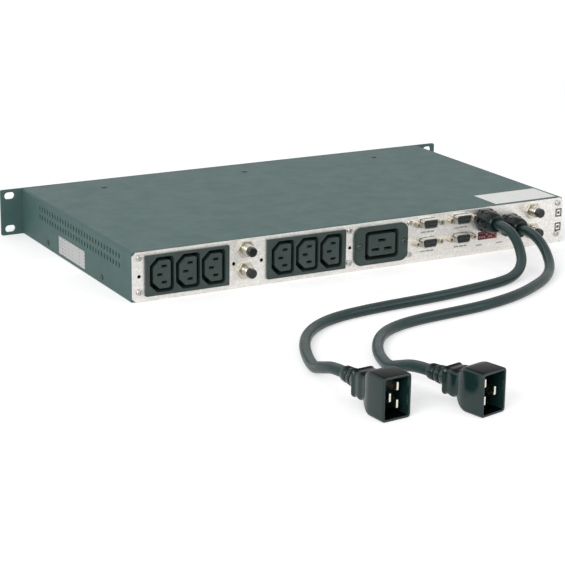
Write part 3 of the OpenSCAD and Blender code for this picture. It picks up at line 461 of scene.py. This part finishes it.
def plug_rings():
    """Sections of a moulded plug from the end of its neck to its face, then down into the cavity."""
    rings = [section(s, r, r, r - 0.01) for s, r in NECK]
    rings += [section(s, w, h, GRIP_R) for s, w, h in GRIP]
    rings += [shoulder(k) for k in range(SHOULDER_STEPS + 1)]
    rings += [section(s, SHROUD_HALF_W - d, SHROUD_HALF_H - d, SHROUD_R - d / 2) for s, d in OUTER_RIM]
    w, h = SHROUD_HALF_W - SHROUD_WALL, SHROUD_HALF_H - SHROUD_WALL
    rings += [section(s, w - d, h - d, CAVITY_R) for s, d in INNER_RIM]
    return rings


def blade_rings(x, z, lead):
    """One blade: straight from the cavity's floor, with cut corners at its tip."""
    sizes = [(CAVITY_DEPTH + BLADE_ROOT, *BLADE_TIP[0][1:])]
    sizes += [(BLADE_RECESS - lead + s, w, h) for s, w, h in BLADE_TIP]
    return [
        [Vector((x + sx * w, -s, z + sz * h)) * MM for sx, sz in ((1, 1), (-1, 1), (-1, -1), (1, -1))]
        for s, w, h in sizes
    ]


def make_plug(k):
    """Plug k's moulding and blades, in place of its CAD solids."""
    at, turn, roll = PLUGS[k]
    place = Matrix.Translation(Vector(at) * MM) @ Matrix.Rotation(math.radians(turn), 4, "Z")
    place = place @ Matrix.Rotation(math.radians(roll), 4, "Y")
    verts, faces = loft(plug_rings())
    body = add_mesh(f"plug_moulding_{k}", [place @ v for v in verts], faces, "plug", slot="plug_rubber")
    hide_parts(f"plug_body_{k}")
    verts, faces = [], []
    for blade in BLADES:
        v, f = loft(blade_rings(*blade))
        faces += [tuple(i + len(verts) for i in face) for face in f]
        verts += v
    points = [place @ v for v in verts]
    blades = add_mesh(f"plug_contacts_{k}", points, faces, "blade", smooth=False, slot="blades")
    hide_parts(f"plug_blades_{k}")
    return body, blades


for k, route in ((1, ROUTE_1), (2, ROUTE_2)):
    path = smooth_route([Vector(p) * MM for p in route])
    cord = add_mesh(f"mains_cord_{k}", *tube(path, CORD_D / 2), "cord", slot="cord_jacket")
    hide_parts(f"cord_{k}")
    list(make_plug(k))


# ---------------------------------------------------------------- labels, print and threads
# outer faces of the casing, and print on them, in mm
REAR_Y, FRONT_Y, SIDE_X, TOP_Z = 127.0, -127.0, 220.0, 43.6
LABEL_FROM, LABEL_TO = 0.02, 0.12  # how far a label's two faces lie outside the casing's
TOP_LABEL = ((-215, 87), (-147, 122))  # two corners, each (x, y)
SIDE_LABEL = ((-34.5, 3.2), (25.4, 19.4))  # two corners, each (y, z)
INK_FROM = 0.01
INK_TO = 0.05
MARK_TO = 0.06
MARKS = [(-215.5, 29.1), (-215.3, 15.6)]
MARK_W, MARK_H, MARK_LINE = 5.6, 6.6, 1.3
MARK_CORE = (2.6, 2.4)
PORT_XS = (-69.5, -105.5)
PORT_PRINT_ZS = (27.6, 9.9)
PORT_WORDS = [(-5.5, 3.2), (-1.2, 4.2), (4.4, 5.0)]  # middle from the port's, and width
PORT_WORD_H = 1.3
SELECTOR_XS = (-126.5, -149)
SELECTOR_WORD = (8.4, 7, 1.1)  # z, width and height, as in the next three
LAMP_XS = (-170, -150, -130, -110, -90)
LAMP_WORD = (20.5, 9, 1.4)
LAMP_TICK = (34, 0.7, 2.3)
FRONT_BUTTON_XS = (-62, -42)
FRONT_BUTTON_WORD = (18, 10, 1.4)
LAMP_LINE = (-130, 35.5, 88, 0.7)  # x, z, width and height


def boxes(name, corners, look):
    """One piece made of boxes, each between two corners in mm."""
    quads = [(0, 1, 3, 2), (4, 6, 7, 5), (0, 4, 5, 1), (2, 3, 7, 6), (0, 2, 6, 4), (1, 5, 7, 3)]
    verts, faces = [], []
    for lo, hi in corners:
        faces += [tuple(i + len(verts) for i in q) for q in quads]
        verts += [Vector(c) * MM for c in product(*zip(lo, hi))]
    return add_mesh(name, verts, faces, look, smooth=False)


def printed(name, bars, look, y0, y1):
    """Bars of print on a panel, each given by its middle (x, z), its width and its height."""
    corners = [((x - w / 2, y0, z - h / 2), (x + w / 2, y1, z + h / 2)) for x, z, w, h in bars]
    return boxes(name, corners, look)


def square_mark(x, z, w, h, line):
    """Four bars round an open square."""
    return [
        (x, z + h / 2, w + line, line), (x, z - h / 2, w + line, line),
        (x - w / 2, z, line, h - line), (x + w / 2, z, line, h - line),
    ]


def make_labels():
    """The bare labels on the cover and on the vented side."""
    first, second = TOP_LABEL
    boxes("top_label", [((*first, TOP_Z + LABEL_FROM), (*second, TOP_Z + LABEL_TO))], "top_label")
    first, second = SIDE_LABEL
    boxes("side_label", [((SIDE_X + LABEL_FROM, *first), (SIDE_X + LABEL_TO, *second))], "side_label")


def make_print():
    """Square marks and bars in place of words on the rear panel, and lines on the front."""
    bars = [bar for x, z in MARKS for bar in square_mark(x, z, MARK_W, MARK_H, MARK_LINE)]
    bars += [(x, z, *MARK_CORE) for x, z in MARKS]
    printed("rear_marks", bars, "ink", REAR_Y + INK_FROM, REAR_Y + MARK_TO)
    bars = [
        (x + dx, z, w, PORT_WORD_H)
        for x, z in product(PORT_XS, PORT_PRINT_ZS) for dx, w in PORT_WORDS
    ]
    bars += [(x, *SELECTOR_WORD) for x in SELECTOR_XS]
    printed("rear_print", bars, "pale_ink", REAR_Y + INK_FROM, REAR_Y + INK_TO)
    bars = [(x, *LAMP_WORD) for x in LAMP_XS] + [LAMP_LINE]
    bars += [(x, *LAMP_TICK) for x in LAMP_XS] + [(x, *FRONT_BUTTON_WORD) for x in FRONT_BUTTON_XS]
    printed("front_print", bars, "pale_ink", FRONT_Y - INK_TO, FRONT_Y - INK_FROM)


THREAD_PITCH = 0.8 * MM
THREAD_R = 4.72 * MM
THREAD_WIRE_R = 0.28 * MM
NUT_T = 2.6
THREAD_START = (REAR_Y + NUT_T + 0.3) * MM  # a little way out from a breaker's nut
THREAD_END_GAP = 0.5 * MM
THREAD_STEPS = 20  # points in one turn


def make_threads():
    """The fine thread round each breaker's bushing, between its nut and its end."""
    for i in range(1, 5):
        box = [Vector(c) for c in CAD[f"breaker_body_{i}"].bound_box]
        x = (min(c.x for c in box) + max(c.x for c in box)) / 2
        z = (min(c.z for c in box) + max(c.z for c in box)) / 2
        turns = (max(c.y for c in box) - THREAD_END_GAP - THREAD_START) / THREAD_PITCH
        steps = int(turns * THREAD_STEPS)
        path = []
        for k in range(steps + 1):
            turned = turns * k / steps
            a = 2 * math.pi * turned
            y = THREAD_START + THREAD_PITCH * turned
            path.append(Vector((x + THREAD_R * math.cos(a), y, z + THREAD_R * math.sin(a))))
        add_mesh(f"bushing_thread_{i}", *tube(path, THREAD_WIRE_R, 6), "nut")


make_labels()
make_print()
make_threads()


# ---------------------------------------------------------------- stage
WORLD_SOFT = 0.42  # strength of the white world as a lamp; seen directly or in a mirror it is 1
FLOOR_SHADE = (0.86, 0.86, 0.86, 1)
FLOOR_GLOW = 0.45
FLOOR_HALF = 6
WHITE_FROM, WHITE_TO = 0.9, 2.6  # distances between which the floor fades to plain white
LIGHTS = [  # name, place, what it is turned to, side, power in watts
    ("key", (2.2, 1.6, 1.3), (0, 0.1, 0), 1.6, 42),
    ("fill", (-1.8, 2.4, 1.4), (0, 0.1, 0), 1.8, 20),
    ("back", (0.4, -1.8, 2.0), (0, 0, 0), 1.6, 6),
]


def light(name, at, to, size, power):
    """A soft square light at one place, turned to another."""
    data = bpy.data.lights.new(name, "AREA")
    data.shape, data.size, data.energy = "SQUARE", size, power
    o = bpy.data.objects.new(name, data)
    o.location = at
    o.rotation_mode = "QUATERNION"
    o.rotation_quaternion = (Vector(at) - Vector(to)).to_track_quat("Z", "Y")
    scene.collection.objects.link(o)


def seen_rays(tree):
    """1 for what the camera, a mirror reflection or a transmission sees."""
    path = tree.nodes.new("ShaderNodeLightPath")
    total = path.outputs["Is Camera Ray"]
    for name in ("Is Glossy Ray", "Is Transmission Ray"):
        m = tree.nodes.new("ShaderNodeMath")
        m.operation = "MAXIMUM"
        tree.links.new(total, m.inputs[0])
        tree.links.new(path.outputs[name], m.inputs[1])
        total = m.outputs[0]
    return total


def make_stage():
    """White world, pale floor that fades to white, and three soft lights."""
    world = bpy.data.worlds.new("world")
    scene.world = world
    world.use_nodes = True
    t = world.node_tree
    bg = t.nodes["Background"]
    bg.inputs["Color"].default_value = (1, 1, 1, 1)
    m = t.nodes.new("ShaderNodeMapRange")
    m.inputs["To Min"].default_value = WORLD_SOFT
    m.inputs["To Max"].default_value = 1.0
    t.links.new(seen_rays(t), m.inputs["Value"])
    t.links.new(m.outputs["Result"], bg.inputs["Strength"])

    me = bpy.data.meshes.new("floor")
    corners = [(x * FLOOR_HALF, y * FLOOR_HALF, 0) for x, y in ((-1, -1), (1, -1), (1, 1), (-1, 1))]
    me.from_pydata(corners, [], [(0, 1, 2, 3)])
    floor = bpy.data.objects.new("floor", me)
    scene.collection.objects.link(floor)
    mat = bpy.data.materials.new("floor_white")
    mat.use_nodes = True
    t = mat.node_tree
    t.nodes.remove(t.nodes["Principled BSDF"])
    matt = t.nodes.new("ShaderNodeBsdfDiffuse")
    matt.inputs["Color"].default_value = FLOOR_SHADE
    glow = t.nodes.new("ShaderNodeEmission")
    both = t.nodes.new("ShaderNodeAddShader")
    far = t.nodes.new("ShaderNodeVectorMath")
    far.operation = "LENGTH"
    t.links.new(t.nodes.new("ShaderNodeTexCoord").outputs["Object"], far.inputs[0])
    whiter = t.nodes.new("ShaderNodeMapRange")
    for socket, value in zip(("From Min", "From Max", "To Min"), (WHITE_FROM, WHITE_TO, FLOOR_GLOW)):
        whiter.inputs[socket].default_value = value
    t.links.new(far.outputs["Value"], whiter.inputs["Value"])
    scale = t.nodes.new("ShaderNodeMath")
    scale.operation = "MULTIPLY"
    t.links.new(seen_rays(t), scale.inputs[0])
    t.links.new(whiter.outputs["Result"], scale.inputs[1])
    t.links.new(scale.outputs[0], glow.inputs["Strength"])
    t.links.new(matt.outputs[0], both.inputs[0])
    t.links.new(glow.outputs[0], both.inputs[1])
    t.links.new(both.outputs[0], t.nodes["Material Output"].inputs["Surface"])
    me.materials.append(mat)

    for row in LIGHTS:
        light(*row)


make_stage()
